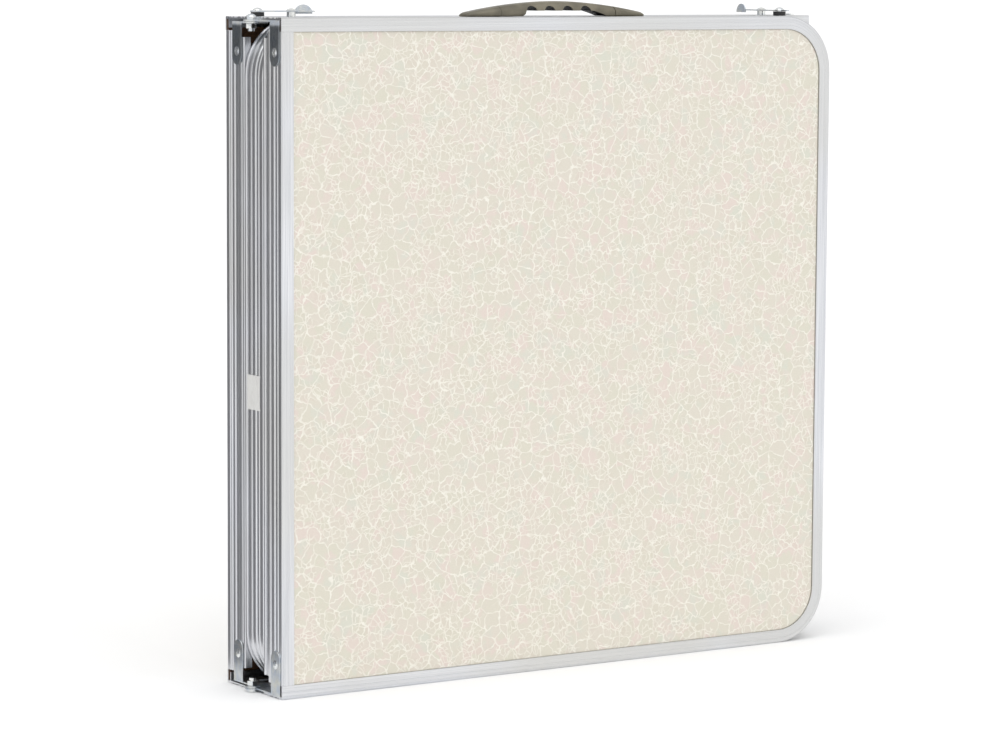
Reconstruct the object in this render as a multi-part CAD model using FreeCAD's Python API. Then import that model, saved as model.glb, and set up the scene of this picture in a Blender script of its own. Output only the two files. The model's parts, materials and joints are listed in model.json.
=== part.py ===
import FreeCAD, Part
import math
import os

# A suitcase folding table, folded shut and standing on its long side rails.
# Three square sections lie one behind the other: the front section (an end of the table,
# tabletop outward), the inner section (the other end) and the middle section (tabletop outward).
# Millimetres. X runs along the folded case from the front hinge (-X) to the inner hinge (+X),
# Y runs from the front tabletop (-Y) to the back one (+Y), Z is up, and the origin is the middle
# of the footprint on the floor.

V = FreeCAD.Vector
NORTH = V(0, 0, 1)
SOUTH = V(0, 0, -1)
EAST = V(1, 0, 0)
WEST = V(-1, 0, 0)
DEEPER = V(0, 1, 0)

# Sections
SIDE = 600.0              # each section is square
SECTION_DEPTH = 33.0      # tabletop face to underside
LAYER_GAP = 0.5           # between two folded sections
CORNER_R = 52.0           # rounded free corners of the two end sections
HALF = SIDE / 2.0
CASE_DEPTH = 3 * SECTION_DEPTH + 2 * LAYER_GAP
FRONT_Y = -CASE_DEPTH / 2.0
INNER_Y = FRONT_Y + SECTION_DEPTH + LAYER_GAP
BACK_Y = CASE_DEPTH / 2.0

# Extruded rail: u runs inward from its outer face, v runs from the tabletop face to the underside
BORDER = 12.3             # visible width of the rail around the board
FLANGE = 1.2              # thickness of the border flange
BOARD = 4.0               # tabletop board
BOARD_SLACK = 0.1
BOARD_INSET = 2.8         # board edge to the rail's outer face
SHELF = 10.0              # how far the shelf under the board reaches in
SHELF_THICK = 1.0
WALL = 2.3                # outer wall, measured over its beads
GROOVE = 1.0              # depth of the grooves between beads
BEADS = ((6.8, 9.8), (12.8, 16.2), (20.4, 28.6))
FOOT_FLAT = 30.6          # the wall is plain again from here to the underside
LIP = 7.0
LIP_THICK = 1.3
EDGE_R = 1.2
SLOT_TOP = FLANGE
SLOT_BOTTOM = FLANGE + BOARD + 2 * BOARD_SLACK
SHELF_UNDER = SLOT_BOTTOM + SHELF_THICK
BUTT_GAP = 0.1            # short rails butt against the border of the long ones
END_NOTCH = 18.0          # a short rail's lip side stops this far from the section's corner
END_NOTCH_V = 24.0        # and is whole above this depth

# Corner hinges
HINGE_OFFSET = 2.0        # hinge axis outside the rails' end faces
STRAP = 1.2               # tongue thickness
PLATE = 1.5               # hinge plate thickness
TONGUE_R = 8.0
TONGUE_END = 557.4        # lowest point of an upper tongue
SCREW_Z = 569.6
SCREW_R = 2.0
PLATE_REACH = 26.0        # plate length inside the rail's end
ARM_WIDTH = 16.0
RING_R = 7.0
UPPER_PLATE_Z = 596.1
LOWER_PLATE_Z = 594.4
FRONT_AXIS_Y = 0.0
INNER_AXIS_Y = BACK_Y - SECTION_DEPTH - LAYER_GAP / 2.0
FRONT_BOLT_R = 3.0
INNER_PIN_R = 1.9
RUNNING = 0.05            # radial clearance of every pivot
FRONT_TONGUE = 39.5       # tongue centre to hinge axis, front section
MIDDLE_TONGUE = 28.0      # the same on the middle section, front hinge
INNER_TONGUE = 20.0       # the same on both straps of the inner hinge
NOTCH = PLATE_REACH + 1.5
PLATE_MARGIN = 3.8        # plate beyond the tongue's centre
FRONT_BOLT_FOOT = 587.5
INNER_PIN_FOOT = 589.0
COLLAR_R = 5.4
COLLAR = 2.6              # washer under the upper bolt's round head
LOW_HEAD = 1.9
HEAD_R = 5.0
HEAD_RISE = 2.6
HEAD_GAP = 0.1

# Latches on the top rails
LEVER_Z = 604.3
LEVER_THICK = 1.1
LEVER_HALF_WIDTH = 4.5
HOOK_R = 6.5
TAB_HALF = 8.4            # half the thumb tab's width
TAB_RISE = 6.4            # its height above the plate's underside
TAB_DROP = 1.8
NECK_R = 2.5
HOOK_FIT = 0.3            # hook's gap around the keeper's neck
MOUTH_FLARE = 1.4         # the same on the pivot side, where the neck swings in
SPACER_R = 6.0
SPACER_TOP = 604.0
STOW_PIVOT = (-261.7, 0.0)
STOW_KEEPER = (-292.0, 6.5)
STOW_TAIL = 4.0           # pivot to the near end of the thumb tab
CASE_PIVOT = (255.0, 0.0)
CASE_KEEPER = (251.0, -34.0)
CASE_TAIL = 23.0

# Carry handle
HANDLE_X = -6.0
HANDLE_Y = -32.0
HANDLE_HALF = 96.5
HANDLE_WIDTH = 22.0
HANDLE_RISE = 14.0
GRIP_HALF = 62.0
CAP_GAP = 0.4
FINGER_HALF = 38.0
FINGER_TOP = 5.5
SCALLOP_R = 6.0
SCALLOP_PITCH = 19.6
SCALLOP_Z = 3.8
GRIP_LIFT = 6.0
CROWN_R = 26.0
POCKET_HALF = 7.3         # pocket in each end cap for the grip's tongue
TONGUE_HALF = 7.0
TONGUE_LOW = 0.3
TONGUE_HIGH = 2.5
POCKET_DEPTH = 14.5
CAP_SCREW_X = 82.0

# Leg sets, measured in a section's own frame
PIVOT_X = SIDE - 30.5
PIVOT_V = 19.5
LEG_R = 9.5
LEG_WALL = 1.2
LEG_STUB = 5.0            # tube beyond the pivot
LEG_TUBE = 325.0
SLIDE_R = 8.0
SLIDE_WALL = 1.0
SLIDE_START = 10.0
FOOT_START = 327.0
FOOT_END = 345.0
FOOT_R = 11.0
FOOT_FLOOR = 4.0
LEG_TRAVEL = 275.0
BUTTON_AT = 32.0
BUTTON_R = 2.8
CROSSBAR_AT = 145.0
CROSSBAR_R = 8.0
WIDE_SPAN = 265.0         # leg centre line to the middle of the table
NARROW_SPAN = 235.0
LEG_RIVET_R = 3.0
CHEEK_GAP = 9.8
CHEEK = 1.5
WEB = 1.0                 # bracket web under the board
FLANGE_END = 26.0
LEG_FOOT = (522.0, 546.0)  # where a leg bracket meets the straight part of the rail
LEG_CHEEK_R = 11.0
STAY_CHEEK_R = 8.0
STAY_AT = 120.0
STAY_LENGTH = STAY_AT / math.sqrt(2.0)
STAY_THICK = 1.5
STAY_HALF_WIDTH = 6.0
STAY_RIVET_R = 2.0
CLIP_R = 10.7
CLIP_LENGTH = 14.0
LEG_LINK = 11.2           # offsets of the stay parts from the leg's centre line
STUD_HEAD = 12.8
SECTION_LINK = 14.0
STAY_CHEEK = 16.0

NODES = {}


def box(x0, x1, y0, y1, z0, z1):
    return Part.makeBox(x1 - x0, y1 - y0, z1 - z0, V(x0, y0, z0))


def rod(x, y, z, radius, length, axis=NORTH):
    return Part.makeCylinder(radius, length, V(x, y, z), axis)


def tube(x, y, z, radius, wall, length, axis):
    return rod(x, y, z, radius, length, axis).cut(rod(x, y, z, radius - wall, length, axis))


def fuse(shapes):
    return shapes[0].fuse(shapes[1:]).removeSplitter()


def group(shapes):
    solids = [solid for shape in shapes for solid in shape.Solids]
    return solids[0] if len(solids) == 1 else Part.makeCompound(solids)


def upside_down(shape):
    return shape.mirror(V(0, 0, HALF), NORTH)


def both_ends(shape):
    return [shape, upside_down(shape)]


def dome(x, y, z, radius, height, axis=NORTH):
    """A low round head: the cap of a ball, standing on the plane through (x, y, z)."""
    ball_r = (radius * radius + height * height) / (2.0 * height)
    centre = V(x, y, z) - axis * (ball_r - height)
    ball = Part.makeSphere(ball_r, centre)
    keep = rod(x, y, z, radius * 1.2, height * 1.5, axis)
    return ball.common(keep)


# Rails and boards

def rail_face(corner, inward):
    """Cross-section of the rail, from its outer tabletop corner."""
    def at(u, v):
        return corner + inward * u + DEEPER * v

    def line(start, end):
        return Part.LineSegment(at(*start), at(*end)).toShape()

    def arc(start, middle, end):
        return Part.Arc(at(*start), at(*middle), at(*end)).toShape()

    bend = EDGE_R * (1.0 - math.sqrt(0.5))
    edges = [arc((EDGE_R, 0.0), (bend, bend), (0.0, EDGE_R))]
    tip = (0.0, EDGE_R)

    def line_to(point):
        nonlocal tip
        edges.append(line(tip, point))
        tip = point

    line_to((0.0, BEADS[0][0] - 1.0))
    for start, end in BEADS:
        line_to((GROOVE, start))
        edges.append(arc((GROOVE, start), (0.0, (start + end) / 2.0), (GROOVE, end)))
        tip = (GROOVE, end)
    line_to((GROOVE, FOOT_FLAT - 0.6))
    line_to((0.0, FOOT_FLAT))
    line_to((0.0, SECTION_DEPTH - EDGE_R))
    low = SECTION_DEPTH - bend
    edges.append(arc(tip, (bend, low), (EDGE_R, SECTION_DEPTH)))
    tip = (EDGE_R, SECTION_DEPTH)
    line_to((LIP, SECTION_DEPTH))
    line_to((LIP, SECTION_DEPTH - LIP_THICK))
    line_to((WALL, SECTION_DEPTH - LIP_THICK))
    line_to((WALL, SHELF_UNDER))
    line_to((SHELF, SHELF_UNDER))
    line_to((SHELF, SLOT_BOTTOM))
    line_to((WALL, SLOT_BOTTOM))
    line_to((WALL, SLOT_TOP))
    line_to((BORDER, SLOT_TOP))
    line_to((BORDER, 0.0))
    line_to((EDGE_R, 0.0))
    return Part.Face(Part.Wire(edges))


def straight_rail(corner, inward, along, length):
    return rail_face(corner, inward).extrude(along * length)


def hinge_notches(x0, x1):
    """Clearance for the hinge plates in the lips of the two long rails' ends."""
    v0, v1 = SECTION_DEPTH - LIP_THICK - 0.2, SECTION_DEPTH + 1
    return both_ends(box(x0, x1, v0, v1, SIDE - SHELF, SIDE - WALL))


def rim_rail():
    """The U-shaped rail of an end section: two arms, two round corners and the free edge."""
    run = SIDE - CORNER_R
    edge_run = SIDE - 2 * CORNER_R
    low_face = rail_face(V(run, 0, 0), NORTH)
    high_face = rail_face(V(SIDE, 0, run), WEST)
    pieces = [
        straight_rail(V(0, 0, 0), NORTH, EAST, run),
        low_face.revolve(V(run, 0, CORNER_R), V(0, -1, 0), 90),
        straight_rail(V(SIDE, 0, CORNER_R), WEST, NORTH, edge_run),
        high_face.revolve(V(run, 0, run), V(0, -1, 0), 90),
        straight_rail(V(0, 0, SIDE), SOUTH, EAST, run),
    ]
    rail = fuse(pieces)
    for notch in hinge_notches(-1, NOTCH):
        rail = rail.cut(notch)
    return rail


def short_rail(x, inward, screw_v):
    """A rail between the long ones, with holes for its two hinge screws."""
    start = BORDER + BUTT_GAP
    rail = straight_rail(V(x, 0, start), inward, NORTH, SIDE - 2 * start)
    hole = rod(x - 5, screw_v, SCREW_Z, SCREW_R + 0.02, 10, EAST)
    notch = box(x - SHELF - 1, x + SHELF + 1, END_NOTCH_V, SECTION_DEPTH + 1, SIDE - END_NOTCH, SIDE)
    for cutter in both_ends(hole) + both_ends(notch):
        rail = rail.cut(cutter)
    return rail


def long_rail(z, inward):
    rail = straight_rail(V(0, 0, z), inward, EAST, SIDE)
    for cutter in hinge_notches(-1, NOTCH) + hinge_notches(SIDE - NOTCH, SIDE + 1):
        rail = rail.cut(cutter)
    return rail


def board(round_corners, square_ends):
    """The tabletop board in its slot, with ears that fill the open rail ends."""
    top = SLOT_TOP + BOARD_SLACK
    low = BOARD_INSET
    high = SIDE - BOARD_INSET
    plate = box(low, high, top, top + BOARD, low, high)
    if round_corners:
        upright = [edge for edge in plate.Edges if abs(edge.Length - BOARD) < 1e-6
                   and edge.CenterOfMass.x > HALF]
        plate = plate.makeFillet(CORNER_R - BOARD_INSET, upright)
    ear = BORDER - 0.1
    for x0, x1 in square_ends:
        for z0, z1 in ((low, ear), (SIDE - ear, high)):
            plate = plate.fuse(box(x0, x1, top, top + BOARD, z0, z1))
    return plate.removeSplitter()


# Section frames: x from the hinge edge to the free edge, y from the tabletop face down

def to_front(shape):
    moved = shape.copy()
    moved.translate(V(-HALF, FRONT_Y, 0))
    return moved


def to_inner(shape):
    moved = shape.copy()
    moved.rotate(V(0, 0, 0), V(0, 1, 0), 180)
    moved.translate(V(HALF, INNER_Y, SIDE))
    return moved


def to_middle(shape):
    moved = shape.copy()
    moved.rotate(V(0, 0, 0), NORTH, 180)
    moved.translate(V(HALF, BACK_Y, 0))
    return moved


def section_frames():
    ear_left = (0.3, BOARD_INSET)
    ear_right = (SIDE - BOARD_INSET, SIDE - 0.3)
    end_board = board(True, [ear_left])
    front_screw = FRONT_AXIS_Y - FRONT_TONGUE - FRONT_Y
    inner_screw = INNER_AXIS_Y - INNER_TONGUE - INNER_Y
    rim = rim_rail()
    front_rim = to_front(rim).cut(rod(*CASE_KEEPER, SIDE - 10, NECK_R + 0.02, 20))
    NODES["front_board"] = to_front(end_board)
    NODES["front_rim_rail"] = front_rim
    NODES["front_hinge_rail"] = to_front(short_rail(0, EAST, front_screw))
    NODES["inner_board"] = to_inner(end_board)
    NODES["inner_rim_rail"] = to_inner(rim)
    NODES["inner_hinge_rail"] = to_inner(short_rail(0, EAST, inner_screw))
    NODES["middle_board"] = to_middle(board(False, [ear_left, ear_right]))
    NODES["middle_bottom_rail"] = to_middle(long_rail(0, NORTH))
    NODES["middle_top_rail"] = to_middle(long_rail(SIDE, SOUTH))
    right_screw = BACK_Y - INNER_AXIS_Y - INNER_TONGUE
    left_screw = BACK_Y - FRONT_AXIS_Y - MIDDLE_TONGUE
    NODES["middle_right_rail"] = to_middle(short_rail(0, EAST, right_screw))
    NODES["middle_left_rail"] = to_middle(short_rail(SIDE, WEST, left_screw))


# Corner hinges, drawn for the upper left corner with the axis at x = y = 0 and the tongue at -y

def hinge_bracket(reach, plate_z, bolt_r):
    outer = HINGE_OFFSET - STRAP
    top = plate_z + PLATE
    tongue_low = TONGUE_END + TONGUE_R
    tongue = box(outer, HINGE_OFFSET, -reach - TONGUE_R, -reach + TONGUE_R, tongue_low, top)
    tip = rod(outer, -reach, tongue_low, TONGUE_R, STRAP, EAST)
    plate_start = -reach - PLATE_MARGIN
    plate_end = max(-SECTION_DEPTH / 2.0 - PLATE_MARGIN, -reach + TONGUE_R)
    plate = box(outer, HINGE_OFFSET + PLATE_REACH, plate_start, plate_end, plate_z, top)
    arm = box(outer, outer + ARM_WIDTH, plate_start, 0, plate_z, top)
    ring = rod(0, 0, plate_z, RING_R, PLATE)
    bracket = fuse([tongue, tip, plate, arm, ring])
    bracket = bracket.cut(rod(0, 0, plate_z - 5, bolt_r + RUNNING, 20))
    return bracket.cut(rod(outer - 5, -reach, SCREW_Z, SCREW_R + 0.02, 10, EAST))


def hinge_screw(reach):
    """Cross-head screw that holds a tongue to the rail behind it."""
    face = HINGE_OFFSET - STRAP
    shank = rod(face, -reach, SCREW_Z, SCREW_R, 9, EAST)
    head = dome(face, -reach, SCREW_Z, 4.2, 1.0, WEST)
    screw = fuse([shank, head])
    for half_y, half_z in ((2.2, 0.5), (0.5, 2.2)):
        low_y, high_y = -reach - half_y, -reach + half_y
        slot = box(face - 2, face - 0.45, low_y, high_y, SCREW_Z - half_z, SCREW_Z + half_z)
        screw = screw.cut(slot)
    return screw


def hexagon(z, across, height):
    radius = across / math.sqrt(3.0)
    points = [V(radius * math.cos(math.radians(a)), radius * math.sin(math.radians(a)), z)
              for a in range(0, 361, 60)]
    return Part.Face(Part.makePolygon(points)).extrude(NORTH * height)


def nut(bolt_r, across, height):
    low = LOWER_PLATE_Z - 0.1 - height
    return hexagon(low, across, height).cut(rod(0, 0, low - 1, bolt_r + 0.02, height + 2))


def at_front_hinge(shape, tongue_up):
    """Moves a corner-hinge part to the left side; tongue_up turns its tongue towards +Y."""
    moved = shape.mirror(V(0, 0, 0), DEEPER) if tongue_up else shape.copy()
    moved.translate(V(-HALF - HINGE_OFFSET, FRONT_AXIS_Y, 0))
    return moved


def at_inner_hinge(shape, tongue_up):
    moved = shape.mirror(V(0, 0, 0), EAST)
    if tongue_up:
        moved = moved.mirror(V(0, 0, 0), DEEPER)
    moved.translate(V(HALF + HINGE_OFFSET, INNER_AXIS_Y, 0))
    return moved


def front_bolt():
    """Upper bolt of the front hinge: shank, thick washer and round head."""
    seat = UPPER_PLATE_Z + PLATE + HEAD_GAP
    shank = rod(0, 0, FRONT_BOLT_FOOT, FRONT_BOLT_R, seat + 0.1 - FRONT_BOLT_FOOT)
    collar = rod(0, 0, seat, COLLAR_R, COLLAR)
    return fuse([shank, collar, dome(0, 0, seat + COLLAR, HEAD_R, HEAD_RISE)])


def front_low_bolt():
    """Lower bolt: its flat head stays above the floor."""
    seat = UPPER_PLATE_Z + PLATE + HEAD_GAP
    shank = rod(0, 0, FRONT_BOLT_FOOT, FRONT_BOLT_R, seat + 0.1 - FRONT_BOLT_FOOT)
    return upside_down(fuse([shank, rod(0, 0, seat, COLLAR_R, LOW_HEAD)]))


def inner_pin_head(pin):
    """The inner hinge's upper pin carries a flat head on the rails."""
    neck = rod(0, 0, SIDE - 1, INNER_PIN_R, 2)
    return fuse([pin, neck, rod(0, 0, SIDE + HEAD_GAP, 2 * INNER_PIN_R, 1.2)])


def corner_hinges():
    front = hinge_bracket(FRONT_TONGUE, UPPER_PLATE_Z, FRONT_BOLT_R)
    middle = hinge_bracket(MIDDLE_TONGUE, LOWER_PLATE_Z, FRONT_BOLT_R)
    inner = hinge_bracket(INNER_TONGUE, UPPER_PLATE_Z, INNER_PIN_R)
    right = hinge_bracket(INNER_TONGUE, LOWER_PLATE_Z, INNER_PIN_R)
    front_nut = at_front_hinge(nut(FRONT_BOLT_R, 9.0, 4.4), False)
    inner_nut = at_inner_hinge(nut(INNER_PIN_R, 6.5, 3.2), False)
    inner_pin = rod(0, 0, INNER_PIN_FOOT, INNER_PIN_R, SIDE - HEAD_GAP - INNER_PIN_FOOT)
    inner_head = inner_pin_head(inner_pin)
    NODES["front_hinge_brackets"] = group(both_ends(at_front_hinge(front, False)))
    NODES["middle_left_hinge_brackets"] = group(both_ends(at_front_hinge(middle, True)))
    NODES["inner_hinge_brackets"] = group(both_ends(at_inner_hinge(inner, False)))
    NODES["middle_right_hinge_brackets"] = group(both_ends(at_inner_hinge(right, True)))
    bolts = [at_front_hinge(front_bolt(), False), at_front_hinge(front_low_bolt(), False)]
    pins = [at_inner_hinge(inner_head, False), upside_down(at_inner_hinge(inner_pin, False))]
    NODES["front_hinge_bolts"] = group(bolts)
    NODES["inner_hinge_pins"] = group(pins)
    NODES["hinge_nuts"] = group(both_ends(front_nut) + both_ends(inner_nut))
    front_screws = at_front_hinge(hinge_screw(FRONT_TONGUE), False)
    case_screws = [
        at_front_hinge(hinge_screw(MIDDLE_TONGUE), True),
        at_inner_hinge(hinge_screw(INNER_TONGUE), False),
        at_inner_hinge(hinge_screw(INNER_TONGUE), True),
    ]
    NODES["front_hinge_screws"] = group(both_ends(front_screws))
    NODES["case_hinge_screws"] = group([part for screw in case_screws for part in both_ends(screw)])


# Latches: a lever lies along +x from its pivot at the origin to the keeper's neck

def lever(hook_reach, tail, locks):
    tail_end = -(tail + 2 * TAB_HALF)
    plate = fuse([
        box(tail_end, hook_reach, -LEVER_HALF_WIDTH, LEVER_HALF_WIDTH, 0, LEVER_THICK),
        rod(0, 0, 0, HOOK_R, LEVER_THICK),
        rod(hook_reach, 0, 0, HOOK_R, LEVER_THICK),
    ])
    if locks:
        mouth_start = hook_reach - NECK_R - MOUTH_FLARE
        mouth = box(mouth_start, hook_reach + NECK_R + HOOK_FIT, -20, 0, -1, 3)
        plate = plate.cut(mouth).cut(rod(hook_reach, 0, -1, NECK_R + HOOK_FIT, 4))
    else:
        finger = box(hook_reach, hook_reach + HOOK_R + 1, 3.4, HOOK_R, 0, LEVER_THICK)
        mouth = box(hook_reach - NECK_R - 0.4, hook_reach + 20, -20, 3.4, -1, 3)
        plate = fuse([plate, finger]).cut(mouth)
    tab_x = -(tail + TAB_HALF)
    tab_y = -LEVER_HALF_WIDTH
    arc_r = (TAB_HALF ** 2 + TAB_RISE ** 2) / (2.0 * TAB_RISE)
    tab = rod(tab_x, tab_y, TAB_RISE - arc_r, arc_r, LEVER_THICK, DEEPER)
    tab = tab.cut(box(tab_x - 20, tab_x + 20, tab_y - 5, tab_y + 5, -20, 0))
    skirt = box(tail_end, -tail, tab_y, tab_y + LEVER_THICK, -TAB_DROP, 0)
    shape = fuse([plate, tab, skirt])
    return shape.cut(rod(0, 0, -5, NECK_R + RUNNING, 10))


def placed_lever(pivot, keeper, tail, locks):
    reach = math.hypot(keeper[0] - pivot[0], keeper[1] - pivot[1])
    angle = math.degrees(math.atan2(keeper[1] - pivot[1], keeper[0] - pivot[0]))
    shape = lever(reach, tail, locks)
    shape.rotate(V(0, 0, 0), NORTH, angle)
    shape.translate(V(pivot[0], pivot[1], LEVER_Z))
    return shape


def spacer(x, y, z):
    return rod(x, y, z, SPACER_R, SPACER_TOP - z).cut(rod(x, y, z - 1, NECK_R + 0.02, 10))


def keeper_screw(x, y, z, collar_r, collar_top):
    """Headed screw whose neck, above the spacer, is what the hook holds."""
    parts = [rod(x, y, z, NECK_R, LEVER_Z + LEVER_THICK + 0.3 - z)]
    parts.append(dome(x, y, LEVER_Z + LEVER_THICK + 0.3, 4.6, 2.3))
    if collar_top > z:
        parts.append(rod(x, y, z, collar_r, collar_top - z))
    return fuse(parts)


def lever_rivet(x, y, base_z):
    under = LEVER_Z - 0.1
    over = LEVER_Z + LEVER_THICK + 0.15
    post = rod(x, y, base_z, 4.0, under - base_z)
    neck = rod(x, y, base_z, NECK_R, over - base_z)
    return fuse([post, neck, dome(x, y, over, 4.7, 1.9)])


def latches():
    round_end = rod(CORNER_R - HALF, -30, SIDE - CORNER_R, CORNER_R + 0.05, 60, DEEPER)
    stow_rivet = lever_rivet(*STOW_PIVOT, SIDE - 6).cut(round_end)
    case_rivet = lever_rivet(*CASE_PIVOT, SIDE + 0.05)
    plate_top = LOWER_PLATE_Z + PLATE + 0.02
    NODES["stow_latch_lever"] = placed_lever(STOW_PIVOT, STOW_KEEPER, STOW_TAIL, True)
    NODES["case_latch_lever"] = placed_lever(CASE_PIVOT, CASE_KEEPER, CASE_TAIL, False)
    NODES["latch_pivot_rivets"] = group([stow_rivet, case_rivet])
    NODES["stow_keeper_spacer"] = spacer(*STOW_KEEPER, SIDE + 0.4)
    NODES["stow_keeper_screw"] = keeper_screw(*STOW_KEEPER, plate_top, 3.5, SIDE + 0.3)
    NODES["case_keeper_spacer"] = spacer(*CASE_KEEPER, SIDE + 0.05)
    NODES["case_keeper_screw"] = keeper_screw(*CASE_KEEPER, SIDE - 8, NECK_R, 0)


# Carry handle on the front section's top rail

def handle_body(x0, x1):
    """A slice of the low arch between two stations, with its long top edges rounded."""
    arch_r = (HANDLE_HALF ** 2 + HANDLE_RISE ** 2) / (2.0 * HANDLE_RISE)
    front = HANDLE_Y - HANDLE_WIDTH / 2.0
    arch = rod(HANDLE_X, front, SIDE + HANDLE_RISE - arch_r, arch_r, HANDLE_WIDTH, DEEPER)
    half_width = HANDLE_WIDTH / 2.0
    crown_start = HANDLE_X - 1.2 * HANDLE_HALF
    crown_z = SIDE + HANDLE_RISE - CROWN_R
    crown = rod(crown_start, HANDLE_Y, crown_z, CROWN_R, 2.4 * HANDLE_HALF, EAST)
    y0, y1 = HANDLE_Y - half_width, HANDLE_Y + half_width
    block = box(HANDLE_X + x0, HANDLE_X + x1, y0, y1, SIDE + 0.1, SIDE + 20)
    return block.common(arch).common(crown)


def handle_cap(side):
    """End cap, hollow where the grip's end tongue is captured."""
    near = GRIP_HALF + CAP_GAP
    cap = handle_body(near, HANDLE_HALF) if side > 0 else handle_body(-HANDLE_HALF, -near)
    ends = sorted((HANDLE_X + side * (near - 1), HANDLE_X + side * (near + POCKET_DEPTH)))
    pocket_top = SIDE + TONGUE_HIGH + 0.4 + GRIP_LIFT
    pocket = box(*ends, HANDLE_Y - POCKET_HALF, HANDLE_Y + POCKET_HALF, SIDE, pocket_top)
    screw_x = HANDLE_X + side * CAP_SCREW_X
    bore = rod(screw_x, HANDLE_Y, SIDE - 1, SCREW_R + 0.03, 30)
    recess = rod(screw_x, HANDLE_Y, SIDE + 2.2, 4.1, 30)
    return cap.cut(pocket).cut(bore).cut(recess)


def handle_grip():
    grip = handle_body(-GRIP_HALF, GRIP_HALF)
    reach = HANDLE_WIDTH
    front, back = HANDLE_Y - reach, HANDLE_Y + reach
    x0, x1 = HANDLE_X - FINGER_HALF, HANDLE_X + FINGER_HALF
    opening = box(x0, x1, front, back, SIDE - 1, SIDE + FINGER_TOP)
    grip = grip.cut(opening)
    for step in (-1.5, -0.5, 0.5, 1.5):
        x = HANDLE_X + step * SCALLOP_PITCH
        grip = grip.cut(rod(x, front, SIDE + SCALLOP_Z, SCALLOP_R, 2 * reach, DEEPER))
    for side in (-1, 1):
        ends = sorted((HANDLE_X + side * (GRIP_HALF - 2), HANDLE_X + side * (GRIP_HALF + 14)))
        sides = (HANDLE_Y - TONGUE_HALF, HANDLE_Y + TONGUE_HALF)
        tongue = box(*ends, *sides, SIDE + TONGUE_LOW, SIDE + TONGUE_HIGH)
        grip = grip.fuse(tongue)
    return grip.removeSplitter()


def handle():
    NODES["handle_left_cap"] = handle_cap(-1)
    NODES["handle_right_cap"] = handle_cap(1)
    NODES["handle_grip"] = handle_grip()
    screws = []
    for side in (-1, 1):
        x = HANDLE_X + side * CAP_SCREW_X
        shank = rod(x, HANDLE_Y, SIDE + 0.1, SCREW_R, 2.2)
        screws.append(fuse([shank, dome(x, HANDLE_Y, SIDE + 2.25, 3.9, 1.5)]))
    NODES["handle_screws"] = group(screws)


# Leg sets, in a section's own frame: pivot near the free edge, folded legs along -x

def cheek_plate(x, z0, z1, radius):
    return fuse([
        box(x - radius, x + radius, SHELF_UNDER + 0.1, PIVOT_V, z0, z1),
        rod(x, PIVOT_V, z0, radius, z1 - z0),
    ])


def rail_foot(x0, x1, z_inner, side):
    """Web under the board from a cheek to the rail, and the flange against the rail's wall."""
    z_wall = HALF + side * (HALF - WALL - 0.1)
    web_top = SHELF_UNDER + 0.1
    web = box(x0, x1, web_top, web_top + WEB, min(z_inner, z_wall), max(z_inner, z_wall))
    z_flange = z_wall - side * CHEEK
    flange = box(x0, x1, web_top, FLANGE_END, min(z_flange, z_wall), max(z_flange, z_wall))
    return [web, flange]


def leg_bracket(z, side):
    """Two cheeks either side of the leg; its foot meets the rail clear of the round corner."""
    reach = CHEEK_GAP + CHEEK
    web_top = SHELF_UNDER + 0.1
    pieces = rail_foot(*LEG_FOOT, z - side * reach, side)
    web_end = PIVOT_X + LEG_CHEEK_R
    pieces.append(box(LEG_FOOT[0], web_end, web_top, web_top + WEB, z - reach, z + reach))
    for offset in (CHEEK_GAP, -reach):
        pieces.append(cheek_plate(PIVOT_X, z + offset, z + offset + CHEEK, LEG_CHEEK_R))
    return fuse(pieces).cut(rod(PIVOT_X, PIVOT_V, z - 30, LEG_RIVET_R + 0.02, 60))


def stay_bracket(z, side):
    x = PIVOT_X - STAY_AT
    inner = z - side * (STAY_CHEEK + CHEEK)
    low, high = sorted((z - side * STAY_CHEEK, inner))
    pieces = rail_foot(x - STAY_CHEEK_R, x + STAY_CHEEK_R, inner, side)
    pieces.append(cheek_plate(x, low, high, STAY_CHEEK_R))
    return fuse(pieces).cut(rod(x, PIVOT_V, z - 30, STAY_RIVET_R + 0.02, 60))


def leg_rivet(z):
    half = CHEEK_GAP + CHEEK + 0.02
    shank = rod(PIVOT_X, PIVOT_V, z - half, LEG_RIVET_R, 2 * half)
    high_head = dome(PIVOT_X, PIVOT_V, z + half, HEAD_R, 1.4)
    low_head = dome(PIVOT_X, PIVOT_V, z - half, HEAD_R, 1.4, SOUTH)
    return fuse([shank, high_head, low_head])


def stay_rivet(z, side):
    """Rivet that the section's stay link turns on, flush on the leg's side."""
    x = PIVOT_X - STAY_AT
    start = z - side * SECTION_LINK
    length = STAY_CHEEK + CHEEK - SECTION_LINK + 0.8
    axis = NORTH * (-side)
    shank = rod(x, PIVOT_V, start, STAY_RIVET_R, length, axis)
    head_z = start - side * (length - 0.8)
    return fuse([shank, rod(x, PIVOT_V, head_z, 3.8, 0.8, axis)])


def leg_tube(z):
    shape = tube(PIVOT_X + LEG_STUB, PIVOT_V, z, LEG_R, LEG_WALL, LEG_TUBE + LEG_STUB, WEST)
    shape = shape.cut(rod(PIVOT_X, PIVOT_V, z - 20, LEG_RIVET_R + RUNNING, 40))
    lock_x = PIVOT_X - BUTTON_AT - LEG_TRAVEL
    side = 1 if z > HALF else -1
    return shape.cut(rod(lock_x, PIVOT_V, z, BUTTON_R + 0.2, 20, NORTH * side))


def slide_tube(z):
    length = FOOT_END - FOOT_FLOOR - SLIDE_START
    shape = tube(PIVOT_X - SLIDE_START, PIVOT_V, z, SLIDE_R, SLIDE_WALL, length, WEST)
    side = 1 if z > HALF else -1
    return shape.cut(rod(PIVOT_X - BUTTON_AT, PIVOT_V, z, BUTTON_R + 0.05, 20, NORTH * side))


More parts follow.
